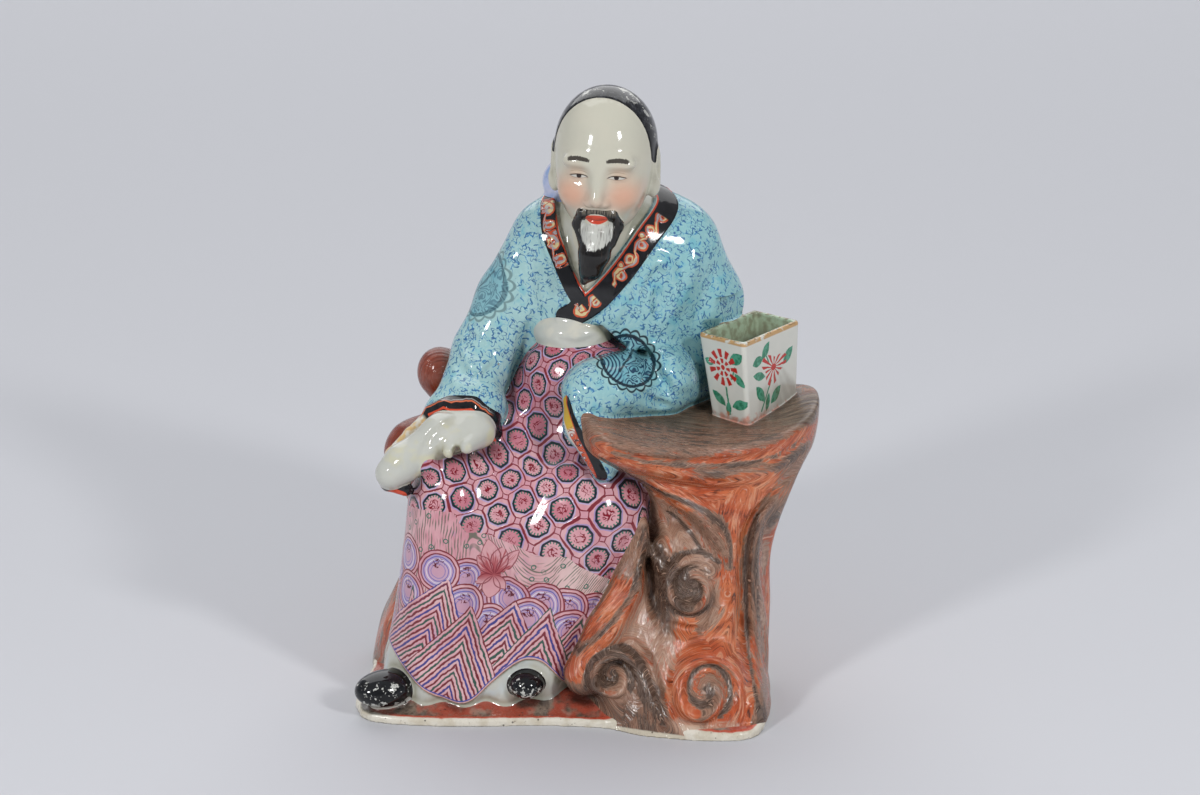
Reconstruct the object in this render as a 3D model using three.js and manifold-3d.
// A glazed porcelain figure, cast as one piece: a bald, bearded scholar in robe and pleated skirt
// sits on a root-wood seat and rests a forearm on a table cut from a tree stump. A small tapered
// brush pot is fired on to the table. Millimetres, +X to the viewer's right, +Y back, +Z up, with
// the origin at the centre of the flat underside.
//
// The body is described as signed distances (negative inside) to ellipsoids, tapered limbs and
// lofted columns, blended into one another as modelled clay is, and then meshed. The pot and the
// flat underside are exact solids.

import * as THREE from 'three';
import Module from 'manifold-3d';

// ---------------------------------------------------------------- driving dimensions
const FIGURE_HEIGHT = 199.5;
const BASE_EDGE = 2.8;            // height of the plate at its rim
const BASE_RISE = 4.2;            // how much the ground rises inside the rim
const BASE_OUTLINE = [[-76, -30], [-70, -42], [-45, -46], [-10, -45.5], [20, -50], [33, -56], [49, -56.5],
  [56.5, -48], [59.5, -20], [59, 20], [48, 44], [-45, 46], [-64, 30], [-72, 0]];

const HEAD = [5.6, -3.5, 177];    // centre of the skull
const HEAD_TURN = { yaw: -8, pitch: 7, roll: 2 };

const POT = [54.7, -2.4, 92];     // where the pot's axis meets the table
const POT_TURN = 54;              // long side, from +X towards +Y
const POT_LEAN = [-0.078, 0.014]; // drift of its axis for each mm of height
const POT_SKEW = 0.105;           // its mouth isn't quite square
const POT_HEIGHT = 29.5;
const POT_FOOT = [14.7, 7.6];     // half sides at the foot
const POT_FLARE = [1.9, 2.0];     // growth of the half sides up to the rim
const POT_WALL = 1.9;
const POT_FLOOR = 4.0;
const POT_CORNER = 1.6;

const TABLE_TOP = 93.6;
const NECK_OPENING = [[-0.8, 133.6], [-6.0, 143], [-10.2, 156], [-13, 172], [30, 172], [20.2, 160], [8.6, 145.4]];
const LAP_OPENING = [[-11.5, 124.5], [-15, 119.5], [-16, 114], [-22, 103], [-28.5, 91], [-20, 80], [30, 80], [30, 112],
  [13, 116.5], [9.5, 119.5], [5, 124], [0, 125.3]];
const COLLAR_WIDTH = 4.6;
const COLLAR_RAISED = 0.8;

const UNDERCUT = -2;              // how far the body runs below the underside before it is cut flat
const MESH_STEP = 1.9;            // grid step of the first, fine surface
const TRIANGLES = 9300;           // what the body keeps of it
const FACE_CARE = 5;              // how much finer the head is kept than the rest

// ---------------------------------------------------------------- small helpers
const clamp = (v, a, b) => Math.min(Math.max(v, a), b);
const rise = (x, a, b) => {
  const t = clamp((x - a) / (b - a), 0, 1);
  return t * t * (3 - 2 * t);
};
const join = (a, b, k) => {
  const h = Math.max(k - Math.abs(a - b), 0) / k;
  return Math.min(a, b) - h * h * k * 0.25;
};
const common = (a, b, k) => -join(-a, -b, k);
const front = (y, limit, soft) => rise(limit - y, 0, soft);

function turned({ yaw = 0, pitch = 0, roll = 0 }) {
  const e = new THREE.Matrix4();
  const axis = (x, y, z, angle) => new THREE.Matrix4()
    .makeRotationAxis(new THREE.Vector3(x, y, z), THREE.MathUtils.degToRad(angle));
  e.multiply(axis(0, 0, 1, yaw)).multiply(axis(1, 0, 0, pitch)).multiply(axis(0, 1, 0, roll));
  return e.elements;
}

function localPoint(p, centre, m) {
  const x = p[0] - centre[0];
  const y = p[1] - centre[1];
  const z = p[2] - centre[2];
  return [x * m[0] + y * m[1] + z * m[2], x * m[4] + y * m[5] + z * m[6], x * m[8] + y * m[9] + z * m[10]];
}

function ellipsoid(centre, radii, turn) {
  const m = turn ? turned(turn) : null;
  const [a, b, c] = radii;
  return (p) => {
    const q = m ? localPoint(p, centre, m) : [p[0] - centre[0], p[1] - centre[1], p[2] - centre[2]];
    const k0 = Math.hypot(q[0] / a, q[1] / b, q[2] / c);
    const k1 = Math.hypot(q[0] / (a * a), q[1] / (b * b), q[2] / (c * c));
    return k0 * (k0 - 1) / Math.max(k1, 1e-6);
  };
}

// A chain of tapered capsules.
function limb(points, radii, blend = 0) {
  const segments = points.slice(1).map((b, i) => {
    const a = points[i];
    const d = [b[0] - a[0], b[1] - a[1], b[2] - a[2]];
    return { a, d, length2: d[0] * d[0] + d[1] * d[1] + d[2] * d[2], r: radii[i], grow: radii[i + 1] - radii[i] };
  });
  return (p) => {
    let best = Infinity;
    for (const { a, d, length2, r, grow } of segments) {
      const x = p[0] - a[0];
      const y = p[1] - a[1];
      const z = p[2] - a[2];
      const t = clamp((x * d[0] + y * d[1] + z * d[2]) / length2, 0, 1);
      const e = Math.hypot(x - d[0] * t, y - d[1] * t, z - d[2] * t) - (r + grow * t);
      best = best === Infinity ? e : blend ? join(best, e, blend) : Math.min(best, e);
    }
    return best;
  };
}

// Smooth values through keys [t, v0, v1, ...], tabulated in even steps of t.
function spline(keys, count = 96) {
  const n = keys.length;
  const slope = keys.map((_, i) => keys[i].slice(1).map((_v, j) => {
    const at = (k) => keys[k][j + 1];
    if (i === 0) return (at(1) - at(0)) / (keys[1][0] - keys[0][0]);
    if (i === n - 1) return (at(i) - at(i - 1)) / (keys[i][0] - keys[i - 1][0]);
    const before = keys[i][0] - keys[i - 1][0];
    const after = keys[i + 1][0] - keys[i][0];
    return (before * before * at(i + 1) + (after * after - before * before) * at(i) - after * after * at(i - 1))
      / (before * after * (before + after));
  }));
  const start = keys[0][0];
  const end = keys[n - 1][0];
  const rows = [];
  for (let s = 0; s < count; s += 1) {
    const t = start + (end - start) * s / (count - 1);
    let i = 0;
    while (i < n - 2 && t > keys[i + 1][0]) i += 1;
    const h = keys[i + 1][0] - keys[i][0];
    const u = (t - keys[i][0]) / h;
    rows.push(slope[i].map((m0, j) => (2 * u ** 3 - 3 * u ** 2 + 1) * keys[i][j + 1] + (u ** 3 - 2 * u ** 2 + u) * h * m0
      + (3 * u ** 2 - 2 * u ** 3) * keys[i + 1][j + 1] + (u ** 3 - u ** 2) * h * slope[i + 1][j]));
  }
  return (t) => {
    const s = clamp((t - start) / (end - start), 0, 1) * (count - 1);
    const i = Math.min(Math.floor(s), count - 2);
    return rows[i].map((v, j) => v + (rows[i + 1][j] - v) * (s - i));
  };
}

// A body whose level sections are superellipses: keys are [z, centre x, centre y, half width, half depth].
function column(keys, { power = 2, bottom = null, top = null, blend = 3 } = {}) {
  const section = spline(keys);
  return (p) => {
    const [cx, cy, a, b] = section(p[2]);
    const u = Math.abs(p[0] - cx);
    const v = Math.abs(p[1] - cy);
    const k = ((u / a) ** power + (v / b) ** power) ** (1 / power);
    const g = Math.max(k, 1e-3) ** (1 - power) * Math.hypot(u ** (power - 1) / a ** power, v ** (power - 1) / b ** power);
    let d = (k - 1) / Math.max(g, 0.5 / Math.max(a, b));
    if (top !== null) d = common(d, p[2] - top, blend);
    if (bottom !== null) d = common(d, bottom - p[2], blend);
    return d;
  };
}

function smoothPath(points, perSpan) {
  if (points.length < 3) return points;
  const at = spline(points.map((q, i) => [i, ...q]), perSpan * (points.length - 1) + 1);
  const count = perSpan * (points.length - 1);
  return Array.from({ length: count + 1 }, (_, s) => at(s / perSpan));
}

// A soft ridge, or a groove if its height is negative, along a curve in a view plane.
function stroke(points, width, height) {
  const path = smoothPath(points, 5);
  const lengths = [0];
  for (let i = 1; i < path.length; i += 1) {
    lengths.push(lengths[i - 1] + Math.hypot(path[i][0] - path[i - 1][0], path[i][1] - path[i - 1][1]));
  }
  const total = lengths[lengths.length - 1];
  const lo = [0, 1].map((j) => Math.min(...path.map((q) => q[j])) - width);
  const hi = [0, 1].map((j) => Math.max(...path.map((q) => q[j])) + width);
  return (u, v) => {
    if (u < lo[0] || u > hi[0] || v < lo[1] || v > hi[1]) return 0;
    let near = Infinity;
    let share = 0;
    for (let i = 1; i < path.length; i += 1) {
      const a = path[i - 1];
      const dx = path[i][0] - a[0];
      const dy = path[i][1] - a[1];
      const t = clamp(((u - a[0]) * dx + (v - a[1]) * dy) / (dx * dx + dy * dy), 0, 1);
      const e = Math.hypot(u - a[0] - t * dx, v - a[1] - t * dy);
      if (e < near) {
        near = e;
        share = (lengths[i - 1] + t * (lengths[i] - lengths[i - 1])) / total;
      }
    }
    const ends = rise(Math.min(share, 1 - share), 0, 0.35);
    const w = width * (0.45 + 0.55 * ends);
    return height * Math.max(0, 1 - (near / w) ** 2) ** 2 * ends;
  };
}
const strokes = (rows) => {
  const all = rows.map(([points, width, height]) => stroke(points, width, height));
  return (u, v) => all.reduce((sum, f) => sum + f(u, v), 0);
};

// A scroll that winds in from its outer end.
function spiral(cx, cz, radius, start, turns, inner = 0.18, count = 26) {
  return Array.from({ length: count }, (_, i) => {
    const t = i / (count - 1);
    const angle = THREE.MathUtils.degToRad(start) + t * turns * 2 * Math.PI;
    const r = radius * (1 - (1 - inner) * t);
    return [cx + r * Math.cos(angle), cz + r * Math.sin(angle)];
  });
}

function polygon(points) {
  return (x, y) => {
    let d = Infinity;
    let inside = false;
    for (let i = 0; i < points.length; i += 1) {
      const a = points[i];
      const b = points[(i + 1) % points.length];
      const ex = b[0] - a[0];
      const ey = b[1] - a[1];
      const t = clamp(((x - a[0]) * ex + (y - a[1]) * ey) / (ex * ex + ey * ey), 0, 1);
      d = Math.min(d, Math.hypot(x - a[0] - t * ex, y - a[1] - t * ey));
      if ((a[1] > y) !== (b[1] > y) && x < ex * (y - a[1]) / ey + a[0]) inside = !inside;
    }
    return inside ? -d : d;
  };
}

const alongPath = (path) => limb(path, path.map(() => 0));

// ---------------------------------------------------------------- the head
function headParts() {
  const skull = ellipsoid([0, 3, 4.3], [16, 18.4, 18.3]);
  const jaw = ellipsoid([0, -4.3, -8.2], [13, 12.8, 14.6]);
  const nose = limb([[0, -15.2, 2.5], [0, -18.6, -6.8]], [1.5, 2.3]);
  const upperLip = ellipsoid([0, -15.9, -12.9], [4.4, 1.7, 1]);
  const lowerLip = ellipsoid([0, -15.5, -14.9], [3.6, 1.9, 1.1]);
  const chin = ellipsoid([0, -12.8, -19.6], [4.6, 3.8, 3.6]);
  const sides = [-1, 1].map((s) => ({
    cheek: ellipsoid([s * 7.6, -11.1, -6.3], [4.8, 4.2, 4.8]),
    brow: ellipsoid([s * 6.2, -14, 4.2], [5.2, 2.6, 2]),
    socket: ellipsoid([s * 6, -18.4, 0.2], [3.6, 2.6, 2.2]),
    lids: ellipsoid([s * 6, -13.3, 0], [3.5, 2.9, 2.2]),
    wing: ellipsoid([s * 2.4, -17, -8.1], [1.7, 2, 1.5]),
    ear: ellipsoid([s * 16, 1.5, -2], [1.9, 3.9, 7.4], { yaw: s * 18, pitch: -6 }),
    lobe: ellipsoid([s * 15.7, -0.4, -8.6], [1.7, 2, 2.8]),
    shell: ellipsoid([s * 18, -0.3, -1], [1.5, 2.1, 4.2], { yaw: s * 18 }),
    moustache: limb([[s * 0.8, -16.6, -11], [s * 4.6, -15.8, -12.2], [s * 6.3, -13.6, -17], [s * 4, -14.6, -22]],
      [0.9, 1.5, 1.8, 2.2], 1),
  }));
  const goatee = limb([[0, -15, -19.5], [-0.5, -17, -25.5], [-1.6, -17.6, -30.5], [-3.6, -17.4, -35]], [4.8, 4.8, 3.4, 1.2], 2);
  const hair = (p) => Math.min(p[1] + 1.3 - 5 * rise(-p[2], -3, 3), p[2] + 13);
  return {
    skin: (p) => {
      let d = join(skull(p), jaw(p), 9) - 0.35 * rise(hair(p), -0.3, 0.5);
      for (const s of sides) {
        d = join(d, s.cheek(p), 4);
        d = join(d, s.brow(p), 3);
        d = common(d, -s.socket(p), 2.5);
        d = join(d, s.lids(p), 0.8);
      }
      d = join(d, nose(p), 2.2);
      for (const s of sides) d = join(d, s.wing(p), 1.2);
      d = join(join(d, upperLip(p), 1), lowerLip(p), 1);
      d = join(d, chin(p), 3);
      for (const s of sides) d = join(d, common(join(s.ear(p), s.lobe(p), 2), -s.shell(p), 1.2), 1.5);
      return d;
    },
    beard: (p) => sides.reduce((d, s) => join(d, s.moustache(p), 1.5), goatee(p)),
  };
}
const headTurn = turned(HEAD_TURN);
const { skin, beard } = headParts();
const knotParts = [ellipsoid([-6.5, 11, 166.5], [8, 7.5, 8]), ellipsoid([2, 15.5, 166], [8, 6, 9])];
const neck = limb([[6, 3, 163], [4.5, 2, 150]], [10, 11]);

// ---------------------------------------------------------------- the robe
const ROBE_FOLDS = strokes([
  [[[16.3, 132], [18, 141], [22.4, 145], [27, 141], [28.5, 128]], 3.4, 1.5],
  [[[22.3, 138], [22.6, 130], [21.5, 124]], 3.2, -1.3],
  [[[37, 150], [31.5, 136], [25.5, 122]], 4.5, 1.3],
  [[[43, 146], [38.5, 132], [33, 120]], 4.5, -1],
  [[[14, 141], [10.5, 131], [7, 122]], 3.6, 1],
  [[[-23.5, 153], [-26.5, 140], [-31, 127]], 4, 1.1],
  [[[-16.5, 152], [-18.5, 138], [-22, 124]], 4, -1],
  [[[-11.5, 148], [-13.5, 134], [-14.5, 124]], 3.4, 0.9],
  [[[-42.5, 116], [-36, 111.5], [-29, 112.5]], 2.8, 1.2],
  [[[-43.5, 111.5], [-37, 107.5], [-29, 108]], 2.4, -1.1],
  [[[-45.5, 108], [-38, 104], [-29.5, 103]], 2.8, 1.1],
  [[[-40.5, 121], [-35, 117], [-28.5, 117.5]], 2.4, -0.9],
  [[[-17, 128], [-21, 115], [-25.5, 102]], 3.2, -1.2],
]);
const BACK_FOLDS = strokes([
  [[[-18, 152], [-8, 134], [-2, 108]], 5, 1.4],
  [[[-6, 156], [0, 134], [3, 108]], 4.5, -1.2],
  [[[10, 158], [9, 134], [9, 106]], 5, 1.4],
  [[[24, 155], [18, 134], [15, 108]], 4.5, -1.2],
  [[[36, 150], [28, 132], [22, 108]], 5, 1.4],
  [[[-26, 140], [-22, 120], [-12, 104]], 4.5, 1.2],
  [[[42, 138], [38, 122], [30, 104]], 4.5, 1.2],
]);
const robeParts = {
  chest: ellipsoid([8, 8.5, 132], [30, 20, 33]),
  shoulders: ellipsoid([9, 13, 148], [29, 15, 17]),
  lap: ellipsoid([6, 18, 96], [33, 20, 34]),
  right: limb([[-12, 9, 147], [-24, 9, 127], [-33, 4, 111], [-38.5, -8, 100]], [13, 12.2, 10.8, 10], 3),
  left: limb([[29, 11, 144], [37, 14, 126], [36, 16, 110]], [14.5, 13.5, 12], 4),
};
const openingOutline = polygon(NECK_OPENING);
const opening = (p) => Math.max(openingOutline(p[0], p[2]), p[1] - 14);
const lapOutline = polygon(LAP_OPENING);
const lap = (p) => Math.max(lapOutline(p[0], p[2]), p[1] + 1);

function robeShell(p) {
  let d = join(robeParts.chest(p), robeParts.shoulders(p), 10);
  d = join(d, robeParts.lap(p), 14);
  d = join(d, robeParts.right(p), 6);
  d = join(d, robeParts.left(p), 6);
  const f = front(p[1], 6, 8);
  return d - ROBE_FOLDS(p[0], p[2]) * f - BACK_FOLDS(p[0], p[2]) * (1 - f);
}

// The wide mouth of the right sleeve with its rolled rim, open over the hand.
const cuffParts = [
  limb([[-36, -12, 97.5], [-44, -13.5, 94.5], [-52, -18, 88]], [10, 8.2, 4.6], 4),
  limb([[-30.1, -16, 87], [-31, -19, 94.8], [-36.8, -20, 99.8], [-44, -20, 99.6], [-50, -17, 96.2], [-57, -20, 91],
    [-63, -24, 85.8], [-65.4, -27, 81.2], [-63.5, -29, 77], [-58.1, -29, 75.4]],
  [2.4, 2.9, 3, 3, 2.4, 1.7, 1.4, 1.4, 2.2, 2.4], 1),
];
const handParts = [
  limb([[-37, -22, 93], [-46, -25, 92.6], [-58.5, -28.5, 84], [-62.5, -30, 81]], [6.7, 6.2, 5.7, 5], 3),
  limb([[-34, -24, 92.5], [-38, -33, 91]], [4.6, 2.3]),
  limb([[-41, -27, 93], [-43.6, -33.5, 89.4]], [3.8, 2]),
];
const HAND_FOLDS = strokes([
  [[[-38, 99], [-47, 95.5], [-54, 86.5]], 2.4, -1],
  [[[-41, 92], [-42, 87]], 1.8, -0.9],
]);

// The left forearm on the table, and the end of its sleeve over the table's edge.
const forearmParts = [
  limb([[36, 13, 103], [22, -7, 104.5], [4.5, -20.5, 105.5]], [11.5, 11.5, 10.8], 3),
  limb([[0.5, -22, 104.5], [-1.4, -27, 96], [5.5, -32, 83.5]], [8.6, 5.8, 4.2], 3),
];
const FOREARM_FOLDS = strokes([
  [[[14, 121], [20, 112], [28, 101]], 4.2, -3.4],
  [[[23.5, 118], [29, 110], [36, 102]], 4.6, 1.4],
  [[[8, 113], [11.5, 106.5], [16.5, 100.5]], 3.6, 1.1],
  [[[16, 108], [21, 102.5], [28, 98.5]], 2.8, -1.3],
  [[[-5.5, 111], [-4, 103], [-4.5, 97]], 3, 1],
  [[[3.5, 104], [0, 99], [-1, 92]], 2.6, -0.9],
]);
const waistBody = ellipsoid([-4.5, -1, 120], [12.5, 11.8, 7.8]);
const WAIST_FOLD = strokes([[[[-12, 121], [-3, 119], [6, 122]], 2, -0.5]]);
// Moves a point onto a surface, along the surface's own direction.
function onto(distance, point) {
  let p = point;
  for (let round = 0; round < 5; round += 1) {
    const d = distance(p);
    const slope = [0, 1, 2].map((i) => {
      const [a, b] = [p.slice(), p.slice()];
      a[i] -= 0.2;
      b[i] += 0.2;
      return (distance(b) - distance(a)) / 0.4;
    });
    const steep = slope.reduce((sum, v) => sum + v * v, 0);
    p = p.map((v, i) => v - d * slope[i] / steep);
  }
  return p;
}
const collarPaths = [
  [[10, 20, 163], [22, 12, 166], [27.2, 3, 166.5], [25.8, -3, 161.5], [19.3, -9, 153], [10.4, -13, 141.5],
    [0.9, -15, 131.8], [-8.6, -15, 125.8]],
  [[8, 20, 163], [-4, 17, 164], [-11.5, 8, 163.5], [-12.5, 0, 160], [-12, -6, 154], [-9.6, -9, 147.2],
    [-6.6, -12, 139.1], [-2.2, -14, 131.5]],
];
const collar = collarPaths.map((path) => alongPath(smoothPath(path, 4).map((p) => onto(robeShell, p))));

// ---------------------------------------------------------------- the skirt and shoes
const hem = spline([[-90, 22], [-70, 22.6], [-64.3, 20.6], [-60.4, 16.8], [-54, 11.1], [-47.5, 7.3], [-42.7, 5.8],
  [-36.4, 7.4], [-31.4, 12], [-25, 17.6], [-18.5, 20], [-13.6, 18.6], [-10.2, 14.6], [-7.4, 10.4], [-3, 9], [20, 9]], 160);
const SKIRT_FOLDS = strokes([
  [[[-15, 97], [-31, 84], [-33, 66], [-31, 40], [-31, 16]], 10, -2.2],
  [[[-49.5, 84], [-53.5, 56], [-56, 30], [-60, 12]], 6, 1],
  [[[-37, 60], [-41, 34], [-43, 8]], 5.5, 1.3],
  [[[-46, 50], [-49.5, 30], [-52, 12]], 4, -0.9],
  [[[4, 74], [-4, 50], [-9, 26], [-8, 12]], 5.5, 1.2],
  [[[-9, 80], [-19, 54], [-24, 30], [-27, 14]], 5, 1.2],
  [[[-2, 62], [-11, 40], [-15, 24]], 4, -1],
  [[[-24, 44], [-33, 26], [-36, 10]], 3.6, -0.8],
  [[[-6, 110], [-18, 99], [-30, 92]], 4.5, 0.9],
  [[[-2, 104], [-10, 94], [-17, 86]], 4.5, -0.8],
]);
const skirtParts = {
  seat: ellipsoid([0, 8, 88], [30, 23, 24]),
  belly: ellipsoid([-3, -3.5, 106], [18, 14.5, 14]),
  thighs: [limb([[-8, 8, 90], [-41, -21, 68]], [17, 15]), limb([[8, 8, 90], [1.8, -21, 65]], [17, 15.6])],
  shins: [limb([[-41, -21, 68], [-50.5, -25, 16]], [15.5, 13]), limb([[1.8, -21, 65], [-14, -25, 16]], [15.6, 12.5])],
  fill: column([[2, -37, -12, 33, 31], [16, -35, -11, 30.5, 28.5], [40, -27, -8, 33, 28], [62, -20, -7, 36, 29],
    [84, -16, -4, 30, 24]], { power: 2.6, bottom: 3, top: 82, blend: 8 }),
  knee: limb([[-44, -20, 76], [-51, -30, 84]], [9, 3.2]),
};
const shoeParts = [ellipsoid([-65.5, -36, 9.2], [10.4, 7.6, 5.8], { yaw: 28 }), ellipsoid([-19.8, -38.6, 12], [6, 6.6, 4.7])];

function skirt(p) {
  let d = join(skirtParts.seat(p), skirtParts.belly(p), 8);
  for (const thigh of skirtParts.thighs) d = join(d, thigh(p), 8);
  for (const shin of skirtParts.shins) d = join(d, shin(p), 6);
  d = join(join(d, skirtParts.fill(p), 9), skirtParts.knee(p), 4);
  d -= SKIRT_FOLDS(p[0], p[2]) * front(p[1], -6, 10);
  d -= Math.sin(p[0] * 0.46 + 1) * 0.8 * rise(34 - p[2], 0, 26) * front(p[1], -10, 10);
  return d + 0.9 * rise(hem(p[0])[0] - p[2], -0.7, 0.5) * front(p[1], -12, 4);
}

// ---------------------------------------------------------------- the stump table and root seat
const STUMP_CARVING = strokes([
  [[[4.5, 88.5], [19, 78.5], [34.5, 68.5], [44, 56], [45, 43]], 4.2, 2.2],
  [[[23.5, 67], [32, 62.5], [36.5, 55.5]], 6.5, -3.2],
  [[[25, 34], [31, 31], [38, 31.5]], 2.8, -2.4],
  [[[20.5, 60], [27, 53.5], [33, 54]], 3.2, 1.3],
  [spiral(33.6, 44.6, 9.4, 40, 1.45), 3.2, 3.8],
  [spiral(8, 16.6, 8.8, -25, 1.45), 3.2, 3.6],
  [spiral(37.4, 15, 12.6, -60, 1.6), 4, 3.6],
  [[[18.6, 56], [20.6, 43], [24.5, 28]], 3.4, -3.4],
  [[[22.5, 56], [25.5, 42], [27, 34]], 2.4, 1],
  [[[17, 62], [15, 44], [6, 30], [-2.5, 18]], 4.5, 1.4],
  [[[12.5, 29], [19, 22.5], [22.5, 14], [25.5, 5]], 3, -2.6],
  [[[69.5, 81], [58, 72], [51, 61], [50, 40], [51.5, 21], [56, 3]], 3.4, -2.8],
  [[[55.5, 68], [54.2, 50], [55, 30], [57.5, 12]], 2.6, 0.9],
  [[[1, 96.2], [18, 91], [36, 88.2], [52, 88], [66, 91.5]], 2.2, -1.1],
  [[[5, 91.5], [20, 86], [40, 82.5], [58, 83], [70, 87.5]], 2.6, 1.2],
  [[[10, 86.5], [24, 80], [42, 77], [60, 78.5]], 2.4, -1.2],
  [[[30, 84.5], [38, 79.5], [44, 78.5]], 2, 0.9],
  [[[49, 76], [46.5, 66], [47.5, 52], [47, 38], [44, 28]], 3.4, 1.3],
]);
const stumpBody = column([[-2, 29, -16, 31, 39.5], [14, 29, -14, 30.5, 36], [30, 31.5, -11.5, 28, 30],
  [50, 36.5, -9.5, 23.5, 25], [66, 42.4, -9, 22.4, 24], [76, 42.7, -9, 26.7, 25.5], [84, 40.2, -9.5, 33.7, 28],
  [90, 37.6, -10, 37.6, 29.5], [97, 37, -10, 38.6, 30], [106, 37, -10, 39, 30]], { power: 2.3 });
const stumpRoot = limb([[16, -27, 62], [14, -31, 46], [6.5, -36, 30], [-1, -39, 15]], [4, 5, 6, 6.5], 3);
const stumpToe = column([[2, 40, -38, 18.5, 15.5], [9, 40, -38, 17.5, 14.5], [18, 39, -36, 13, 11], [26, 38, -32, 6, 6]],
  { power: 3, bottom: 2.4, top: 24, blend: 2 });

function stump(p) {
  const [x, y, z] = p;
  const turn = (0.42 * Math.min(x - 37, 0) + 0.2 * Math.max(x - 37, 0)) * rise(z, 66, 90);
  const v = y - turn;
  const top = TABLE_TOP + 0.004 * (x - 45) ** 2 + 0.05 * (v + 10) + 0.012 * Math.max(x - 62, 0) ** 2;
  const carving = STUMP_CARVING(x, z) * front(v, -10, 8);
  const bark = 0.7 * Math.sin(v * 0.55 + 0.1 * z) * rise(z, 4, 20) * rise(88 - z, 0, 14) * (1 - front(v, -26, 10));
  const trunk = join(join(stumpBody([x, v, z]), stumpRoot(p), 5), stumpToe(p), 6);
  return common(trunk - carving - bark, z - top, 3);
}

const seatParts = {
  body: column([[-2, -12, 12, 62, 33], [17, -11, 13, 58.5, 31.5], [32, -9, 15, 53, 29.5], [50, -7, 17, 47, 28],
    [76, -6, 19, 43, 27]], { power: 2.5, top: 72, blend: 6 }),
  rail: limb([[-47.5, 14, 101], [-42, 26, 94], [-26, 35, 93], [5, 40, 94], [34, 35, 93], [46, 24, 92]],
    [7.8, 6.4, 6, 6, 6, 7], 3),
  knob: ellipsoid([-49, 10.5, 102], [7.2, 7.5, 8.4]),
  backOuter: column([[50, -5, 17, 46.5, 28], [74, -4.5, 17, 44.5, 27], [96, -2.5, 16, 43.5, 25.5]],
    { power: 2.3, bottom: 50, top: 95, blend: 4 }),
  backInner: column([[50, -4, 14, 38, 21], [96, -2, 14, 37, 21]], { power: 2.3 }),
  arm: limb([[-45, 14, 96], [-45, 5, 88], [-55.5, -4, 80.5], [-50, 0, 62]], [6, 5.5, 9.2, 9], 4),
};

function seat(p) {
  let d = join(seatParts.body(p), join(seatParts.rail(p), seatParts.knob(p), 2), 3);
  const back = common(common(seatParts.backOuter(p), -seatParts.backInner(p), 2), 16 - p[1], 4);
  d = join(join(d, back, 3), seatParts.arm(p), 4);
  const angle = Math.atan2(p[1] - 14, p[0] + 8);
  const grain = Math.sin(angle * 13 + 0.09 * p[2]) + 0.6 * Math.sin(angle * 23 - 0.13 * p[2] + 1);
  return d - 0.75 * grain * rise(p[2], 6, 18) * rise(92 - p[2], 0, 16);
}

const outline = polygon(smoothPath([...BASE_OUTLINE, BASE_OUTLINE[0]], 3).slice(0, -1));
function base(p) {
  const d = outline(p[0], p[1]);
  return common(d, p[2] - BASE_EDGE - BASE_RISE * rise(-d, 1, 14), 1.6);
}

// ---------------------------------------------------------------- all of it as one body
// Each part counts only inside its own box, so that far points cost little.
const FAR = 12;
const inside = (p, lo, hi) => [0, 1, 2].every((i) => p[i] > lo[i] && p[i] < hi[i]);
const within = (lo, hi, f) => (p) => (inside(p, lo, hi) ? Math.min(f(p), FAR) : FAR);
const parts = {
  head: within([-15, -32, 148], [27, 22, 204], (p) => skin(localPoint(p, HEAD, headTurn))),
  beard: within([-12, -34, 132], [20, 0, 172], (p) => beard(localPoint(p, HEAD, headTurn))),
  knot: within([-18, 0, 152], [14, 26, 182], (p) => join(knotParts[0](p), knotParts[1](p), 4)),
  neck: within([-12, -20, 132], [22, 22, 178], neck),
  robe: within([-58, -26, 56], [60, 46, 172], (p) => common(common(robeShell(p), -opening(p), 0.8), -lap(p), 1.2)),
  chest: within([-20, -26, 120], [36, 20, 172], (p) => common(robeShell(p) + 1.6, opening(p) - 3, 1)),
  cuff: within([-74, -42, 66], [-20, 2, 112], (p) => join(cuffParts[0](p), cuffParts[1](p), 1.5)),
  hand: within([-72, -46, 68], [-22, -8, 108], (p) => join(join(handParts[0](p), handParts[1](p), 2.5), handParts[2](p), 2.5)
    - HAND_FOLDS(p[0], p[2]) * front(p[1], -20, 4)),
  forearm: within([-16, -44, 72], [56, 32, 124], (p) => join(forearmParts[0](p), forearmParts[1](p), 4)
    - FOREARM_FOLDS(p[0], p[2]) * front(p[1], 0, 6)),
  waist: within([-22, -22, 96], [20, 16, 128], (p) => waistBody(p) - WAIST_FOLD(p[0], p[2])),
  skirt: within([-80, -56, -4], [36, 36, 124], skirt),
  shoes: within([-84, -54, -4], [-6, -24, 22], (p) => join(shoeParts[0](p), shoeParts[1](p), 1)),
  stump: within([-12, -64, -6], [84, 34, 112], stump),
  seat: within([-82, -30, -6], [62, 58, 120], seat),
  base: within([-90, -70, -10], [76, 60, 16], base),
};

// The pot's own axes: along, across and up, with its half sides at a height.
const potTurn = turned({ yaw: POT_TURN });
function potPlace(p) {
  const h = p[2] - POT[2];
  const q = localPoint([p[0] - POT_LEAN[0] * h, p[1] - POT_LEAN[1] * h, p[2]], POT, potTurn);
  return [q[0] - POT_SKEW * q[1], q[1], q[2]];
}
const potHalf = (h) => [0, 1].map((i) => POT_FOOT[i] + POT_FLARE[i] * h / POT_HEIGHT);
function potCore(p) {
  const q = potPlace(p);
  const half = potHalf(q[2]);
  return Math.max(Math.abs(q[0]) - half[0], Math.abs(q[1]) - half[1], 2.5 - q[2]) + 0.6;
}
const nearPot = (p) => p[0] > 28 && p[1] > -32 && p[2] > 90 && p[2] < 130;

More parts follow.
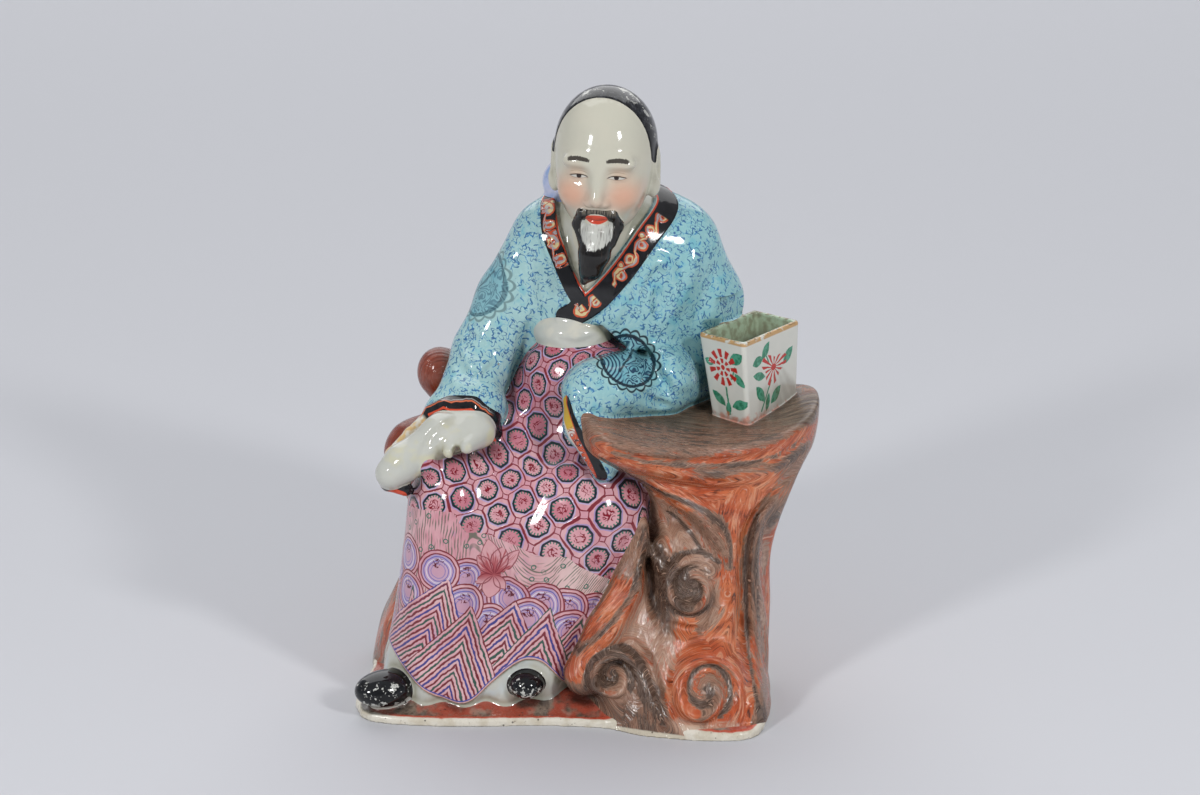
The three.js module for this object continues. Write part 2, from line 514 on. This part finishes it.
function bodyDistance(p) {
  const f = {};
  for (const name of Object.keys(parts)) f[name] = parts[name](p);
  let robe = join(join(f.robe, f.cuff, 3), f.forearm, 3);
  if (Math.abs(robe) < 6 && p[2] > 118) {
    robe -= COLLAR_RAISED * rise(COLLAR_WIDTH - Math.min(collar[0](p), collar[1](p)), 0, 1);
  }
  let d = join(robe, f.skirt, 2.4);
  d = join(d, f.waist, 2);
  d = join(d, f.chest, 0.8);
  d = join(d, f.neck, 2);
  d = join(d, f.hand, 1.6);
  d = join(d, f.shoes, 1.6);
  d = join(d, join(join(f.head, f.beard, 1), f.knot, 2), 1.6);
  if (nearPot(p)) d = common(d, -potCore(p), 0.8);
  d = join(d, join(join(f.stump, f.seat, 4), f.base, 3), 2.4);
  return Math.max(d, UNDERCUT - p[2]);
}

// ---------------------------------------------------------------- meshing
// Surface nets: one vertex in each cell that the surface crosses, and a quad across each crossed edge.
function surfaceNets(field, lo, hi, step) {
  const n = lo.map((v, i) => Math.ceil((hi[i] - v) / step) + 1);
  const id = (i, j, k) => (i * n[1] + j) * n[2] + k;
  const values = new Float32Array(n[0] * n[1] * n[2]).fill(NaN);
  const at = (i, j, k) => {
    const s = id(i, j, k);
    if (Number.isNaN(values[s])) values[s] = field([lo[0] + i * step, lo[1] + j * step, lo[2] + k * step]);
    return values[s];
  };
  // Blocks far from the surface keep one value for the whole block.
  const block = 4;
  for (let i = 0; i < n[0]; i += block) {
    for (let j = 0; j < n[1]; j += block) {
      for (let k = 0; k < n[2]; k += block) {
        const half = block / 2;
        const d = field([lo[0] + (i + half - 0.5) * step, lo[1] + (j + half - 0.5) * step, lo[2] + (k + half - 0.5) * step]);
        if (Math.abs(d) < step * block * 1.2) continue;
        for (let a = i; a < Math.min(i + block, n[0]); a += 1) {
          for (let b = j; b < Math.min(j + block, n[1]); b += 1) {
            values.fill(d, id(a, b, k), id(a, b, Math.min(k + block, n[2])));
          }
        }
      }
    }
  }
  const corners = [[0, 0, 0], [1, 0, 0], [0, 1, 0], [1, 1, 0], [0, 0, 1], [1, 0, 1], [0, 1, 1], [1, 1, 1]];
  // Where two solid corners of a cell touch only across a diagonal, the empty corner nearest the
  // surface is filled, so that no edge of the mesh is shared by four faces.
  const diagonals = [[0, 3, 1, 2], [4, 7, 5, 6], [0, 5, 1, 4], [2, 7, 3, 6], [0, 6, 2, 4], [1, 7, 3, 5]];
  const throughs = [[0, 7], [1, 6], [2, 5], [3, 4]];
  const fillNearest = (cell, v, empty) => {
    const nearestOne = empty.reduce((a, b) => (v[a] < v[b] ? a : b));
    values[id(...cell.map((c, i) => c + corners[nearestOne][i]))] = -0.02 * step;
  };
  for (let changed = true; changed;) {
    changed = false;
    for (let i = 0; i < n[0] - 1; i += 1) {
      for (let j = 0; j < n[1] - 1; j += 1) {
        for (let k = 0; k < n[2] - 1; k += 1) {
          const v = corners.map(([a, b, c]) => at(i + a, j + b, k + c));
          const solid = v.map((d) => d < 0);
          const total = solid.reduce((sum, d) => sum + d, 0);
          if (total === 0 || total === 8) continue;
          let empty = null;
          for (const [a, b, c, d] of diagonals) {
            if (solid[a] && solid[b] && !solid[c] && !solid[d]) empty = [c, d];
            if (solid[c] && solid[d] && !solid[a] && !solid[b]) empty = [a, b];
          }
          for (const [a, b] of throughs) {
            if (solid[a] && solid[b] && total === 2) empty = [0, 1, 2, 3, 4, 5, 6, 7].filter((c) => c !== a && c !== b);
            if (!solid[a] && !solid[b] && total === 6) empty = [a, b];
          }
          if (empty) {
            fillNearest([i, j, k], v, empty);
            changed = true;
          }
        }
      }
    }
  }
  const edges = [[0, 1], [2, 3], [4, 5], [6, 7], [0, 2], [1, 3], [4, 6], [5, 7], [0, 4], [1, 5], [2, 6], [3, 7]];
  const index = new Int32Array(values.length).fill(-1);
  const vertices = [];
  for (let i = 0; i < n[0] - 1; i += 1) {
    for (let j = 0; j < n[1] - 1; j += 1) {
      for (let k = 0; k < n[2] - 1; k += 1) {
        const v = corners.map(([a, b, c]) => at(i + a, j + b, k + c));
        const sum = [0, 0, 0];
        let count = 0;
        for (const [a, b] of edges) {
          if ((v[a] < 0) === (v[b] < 0)) continue;
          const t = v[a] / (v[a] - v[b]);
          for (let c = 0; c < 3; c += 1) sum[c] += corners[a][c] + (corners[b][c] - corners[a][c]) * t;
          count += 1;
        }
        if (!count) continue;
        index[id(i, j, k)] = vertices.length;
        vertices.push([i, j, k].map((cell, axis) => lo[axis] + (cell + sum[axis] / count) * step));
      }
    }
  }
  const triangles = [];
  for (let axis = 0; axis < 3; axis += 1) {
    const [u, v] = [(axis + 1) % 3, (axis + 2) % 3];
    for (let i = 1; i < n[0] - 1; i += 1) {
      for (let j = 1; j < n[1] - 1; j += 1) {
        for (let k = 1; k < n[2] - 1; k += 1) {
          const c = [i, j, k];
          const e = [...c];
          e[axis] += 1;
          const inside = at(...c) < 0;
          if (inside === at(...e) < 0) continue;
          const cell = (du, dv) => {
            const q = [...c];
            q[u] -= du;
            q[v] -= dv;
            return index[id(...q)];
          };
          const quad = [cell(1, 1), cell(0, 1), cell(0, 0), cell(1, 0)];
          if (!inside) quad.reverse();
          triangles.push([quad[0], quad[1], quad[2]], [quad[0], quad[2], quad[3]]);
        }
      }
    }
  }
  return { vertices, triangles };
}

// Moves each vertex on to the surface along the field's slope.
function settle(field, vertices, rounds = 2, eps = 0.15) {
  for (const p of vertices) {
    for (let round = 0; round < rounds; round += 1) {
      const g = [0, 1, 2].map((i) => {
        const a = [...p];
        const b = [...p];
        a[i] += eps;
        b[i] -= eps;
        return (field(a) - field(b)) / (2 * eps);
      });
      const move = clamp(field(p) / Math.max(g[0] ** 2 + g[1] ** 2 + g[2] ** 2, 0.05), -0.8, 0.8);
      for (let i = 0; i < 3; i += 1) p[i] -= g[i] * move;
    }
  }
}

// Collapses the edges that matter least, by the squared distance to the planes around them, and
// keeps the mesh a closed body: an edge goes only if its ends share two neighbours and no face turns over.
function coarsen(vertices, triangles, target, care) {
  const faces = triangles.map((t) => [...t]);
  const alive = faces.map(() => true);
  const around = vertices.map(() => new Set());
  faces.forEach((t, f) => t.forEach((v) => around[v].add(f)));
  const normalOf = (a, b, c) => {
    const u = [b[0] - a[0], b[1] - a[1], b[2] - a[2]];
    const v = [c[0] - a[0], c[1] - a[1], c[2] - a[2]];
    return [u[1] * v[2] - u[2] * v[1], u[2] * v[0] - u[0] * v[2], u[0] * v[1] - u[1] * v[0]];
  };
  const quadric = vertices.map(() => new Float64Array(10));
  for (const t of faces) {
    const n = normalOf(...t.map((v) => vertices[v]));
    const length = Math.hypot(...n);
    if (length < 1e-9) continue;
    const [a, b, c] = n.map((v) => v / length);
    const o = vertices[t[0]];
    const d = -(a * o[0] + b * o[1] + c * o[2]);
    const w = length / 2 * care(o);
    const q = [a * a, a * b, a * c, a * d, b * b, b * c, b * d, c * c, c * d, d * d];
    for (const v of t) for (let i = 0; i < 10; i += 1) quadric[v][i] += q[i] * w;
  }
  const stamp = new Uint32Array(vertices.length);
  const merged = (a, b) => {
    const q = quadric[a].map((v, i) => v + quadric[b][i]);
    const pa = vertices[a];
    const pb = vertices[b];
    const mid = [0, 1, 2].map((i) => (pa[i] + pb[i]) / 2);
    const soft = 0.02 * (q[0] + q[4] + q[7]) / 3 + 1e-6;   // leans towards the middle where the planes agree
    const m = new THREE.Matrix3().set(q[0] + soft, q[1], q[2], q[1], q[4] + soft, q[5], q[2], q[5], q[7] + soft);
    const at = new THREE.Vector3(soft * mid[0] - q[3], soft * mid[1] - q[6], soft * mid[2] - q[8]).applyMatrix3(m.invert());
    const [x, y, z] = [at.x, at.y, at.z];
    const error = q[0] * x * x + 2 * q[1] * x * y + 2 * q[2] * x * z + 2 * q[3] * x + q[4] * y * y + 2 * q[5] * y * z
      + 2 * q[6] * y + q[7] * z * z + 2 * q[8] * z + q[9];
    const length2 = (pa[0] - pb[0]) ** 2 + (pa[1] - pb[1]) ** 2 + (pa[2] - pb[2]) ** 2;
    return { q, at: [x, y, z], cost: Math.max(error, 0) + 0.0012 * length2 * care(mid) };
  };
  const heap = [];
  const push = (item) => {
    heap.push(item);
    let i = heap.length - 1;
    while (i > 0) {
      const up = (i - 1) >> 1;
      if (heap[up].cost <= heap[i].cost) break;
      [heap[up], heap[i]] = [heap[i], heap[up]];
      i = up;
    }
  };
  const pop = () => {
    const first = heap[0];
    const last = heap.pop();
    if (heap.length) {
      heap[0] = last;
      let i = 0;
      for (;;) {
        let low = i;
        for (const child of [2 * i + 1, 2 * i + 2]) {
          if (child < heap.length && heap[child].cost < heap[low].cost) low = child;
        }
        if (low === i) break;
        [heap[low], heap[i]] = [heap[i], heap[low]];
        i = low;
      }
    }
    return first;
  };
  const neighbours = (v) => {
    const set = new Set();
    for (const f of around[v]) for (const w of faces[f]) if (w !== v) set.add(w);
    return set;
  };
  const queue = (a, b) => push({ ...merged(a, b), a, b, sa: stamp[a], sb: stamp[b] });
  for (let v = 0; v < vertices.length; v += 1) for (const w of neighbours(v)) if (v < w) queue(v, w);

  let count = faces.length;
  while (count > target && heap.length) {
    const { a, b, q, at, sa, sb } = pop();
    if (stamp[a] !== sa || stamp[b] !== sb) continue;
    const na = neighbours(a);
    const nb = neighbours(b);
    let shared = 0;
    for (const v of na) if (nb.has(v)) shared += 1;
    if (shared !== 2 || na.size + nb.size < 9) continue;
    let fine = true;
    for (const v of [a, b]) {
      for (const f of around[v]) {
        const t = faces[f];
        if (t.includes(a) && t.includes(b)) continue;
        const before = normalOf(...t.map((w) => vertices[w]));
        const moved = t.map((w) => (w === v ? at : vertices[w]));
        const after = normalOf(...moved);
        const dot = before[0] * after[0] + before[1] * after[1] + before[2] * after[2];
        const area = Math.hypot(...after);
        const longest = Math.max(...moved.map((m, i) => Math.hypot(...m.map((c, j) => c - moved[(i + 1) % 3][j]))));
        if (dot < 0.35 * Math.hypot(...before) * area || area < 0.12 * longest * longest) fine = false;
      }
    }
    if (!fine) continue;
    vertices[a] = at;
    quadric[a] = q;
    for (const f of [...around[b]]) {
      const t = faces[f];
      if (t.includes(a)) {
        alive[f] = false;
        count -= 1;
        for (const w of t) around[w].delete(f);
      } else {
        t[t.indexOf(b)] = a;
        around[a].add(f);
      }
    }
    around[b].clear();
    stamp[a] += 1;
    stamp[b] += 1;
    for (const w of neighbours(a)) queue(a, w);
  }
  return { vertices, triangles: faces.filter((_, f) => alive[f]) };
}

// Keeps the one body that holds the most, so that voids shut inside the clay are filled.
function largestBody(vertices, triangles) {
  const parent = vertices.map((_, i) => i);
  const root = (v) => {
    let r = v;
    while (parent[r] !== r) r = parent[r];
    while (parent[v] !== r) [parent[v], v] = [r, parent[v]];
    return r;
  };
  for (const [a, b, c] of triangles) {
    parent[root(a)] = root(b);
    parent[root(b)] = root(c);
  }
  const volume = new Map();
  for (const t of triangles) {
    const [a, b, c] = t.map((v) => vertices[v]);
    const six = a[0] * (b[1] * c[2] - b[2] * c[1]) + a[1] * (b[2] * c[0] - b[0] * c[2]) + a[2] * (b[0] * c[1] - b[1] * c[0]);
    const r = root(t[0]);
    volume.set(r, (volume.get(r) || 0) + six / 6);
  }
  const [largest] = [...volume].reduce((a, b) => (a[1] > b[1] ? a : b));
  return triangles.filter((t) => root(t[0]) === largest);
}

function closedGeometry(vertices, triangles) {
  const used = new Map();
  const positions = [];
  const index = triangles.flat().map((v) => {
    if (!used.has(v)) {
      used.set(v, used.size);
      positions.push(...vertices[v]);
    }
    return used.get(v);
  });
  const geometry = new THREE.BufferGeometry();
  geometry.setAttribute('position', new THREE.Float32BufferAttribute(positions, 3));
  geometry.setIndex(index);
  return geometry;
}

// ---------------------------------------------------------------- the pot
// Rings of a rectangle with rounded corners, up the outside and down the inside to the floor.
function potGeometry() {
  const turn = THREE.MathUtils.degToRad(POT_TURN);
  const perCorner = 3;
  const ring = (h, inset) => {
    const half = potHalf(h).map((v) => v - inset);
    const r = Math.max(POT_CORNER - inset * 0.4, 0.6);
    const points = [];
    [[1, 1], [-1, 1], [-1, -1], [1, -1]].forEach(([sx, sy], corner) => {
      for (let i = 0; i < perCorner; i += 1) {
        const angle = Math.PI / 2 * (corner + i / (perCorner - 1));
        const v = sy * (half[1] - r) + r * Math.sin(angle);
        const u = sx * (half[0] - r) + r * Math.cos(angle) + POT_SKEW * v;
        points.push([POT[0] + POT_LEAN[0] * h + u * Math.cos(turn) - v * Math.sin(turn),
          POT[1] + POT_LEAN[1] * h + u * Math.sin(turn) + v * Math.cos(turn), POT[2] + h]);
      }
    });
    return points;
  };
  const edge = 0.5;
  const rings = [ring(-1.5, 0), ring(POT_HEIGHT - edge, 0), ring(POT_HEIGHT, edge), ring(POT_HEIGHT, POT_WALL - edge),
    ring(POT_HEIGHT - edge, POT_WALL), ring(POT_FLOOR, POT_WALL)];
  const n = rings[0].length;
  const vertices = rings.flat();
  const triangles = [];
  for (let k = 0; k < rings.length - 1; k += 1) {
    for (let i = 0; i < n; i += 1) {
      const j = (i + 1) % n;
      const [a, b, c, d] = [k * n + i, k * n + j, (k + 1) * n + j, (k + 1) * n + i];
      triangles.push([a, b, c], [a, c, d]);
    }
  }
  const last = (rings.length - 1) * n;
  for (let i = 1; i < n - 1; i += 1) triangles.push([0, i + 1, i], [last, last + i, last + i + 1]);
  return closedGeometry(vertices, triangles);
}

// ---------------------------------------------------------------- joining the solids
const library = await Module();
library.setup();

function toSolid(geometry) {
  const vertProperties = new Float32Array(geometry.getAttribute('position').array);
  return new library.Manifold(new library.Mesh({ numProp: 3, vertProperties, triVerts: new Uint32Array(geometry.index.array) }));
}

function boxSolid(width, depth, height, x, y, z) {
  const corner = (sx, sy, sz) => [x + sx * width / 2, y + sy * depth / 2, z + sz * height / 2];
  const corners = [];
  for (const sz of [-1, 1]) for (const sy of [-1, 1]) for (const sx of [-1, 1]) corners.push(corner(sx, sy, sz));
  const quads = [[0, 2, 3, 1], [4, 5, 7, 6], [0, 1, 5, 4], [2, 6, 7, 3], [0, 4, 6, 2], [1, 3, 7, 5]];
  return toSolid(closedGeometry(corners, quads.flatMap(([a, b, c, d]) => [[a, b, c], [a, c, d]])));
}

const LOW = [-82, -60, -5];
const HIGH = [80, 54, FIGURE_HEIGHT + 3];
const fine = surfaceNets(bodyDistance, LOW, HIGH, MESH_STEP);
settle(bodyDistance, fine.vertices);
fine.triangles = largestBody(fine.vertices, fine.triangles);
const care = (p) => (p[2] > 150 && p[1] < 4 && p[0] > -13 && p[0] < 25 ? FACE_CARE : 1);
const coarse = coarsen(fine.vertices, fine.triangles, TRIANGLES, care);
const underside = boxSolid(400, 400, 40, 0, 0, -20);
const whole = toSolid(closedGeometry(coarse.vertices, coarse.triangles)).subtract(underside).add(toSolid(potGeometry()));
const mesh = whole.getMesh();

const geometry = new THREE.BufferGeometry();
geometry.setAttribute('position', new THREE.Float32BufferAttribute(mesh.vertProperties, 3));
geometry.setIndex(Array.from(mesh.triVerts));
geometry.computeVertexNormals();

const glaze = new THREE.MeshStandardMaterial({ color: 0x8fb9bd, roughness: 0.2, metalness: 0 });
const figure = new THREE.Mesh(geometry, glaze);
figure.name = 'porcelain_figure';

const object = new THREE.Group();
object.add(figure);
export default object;
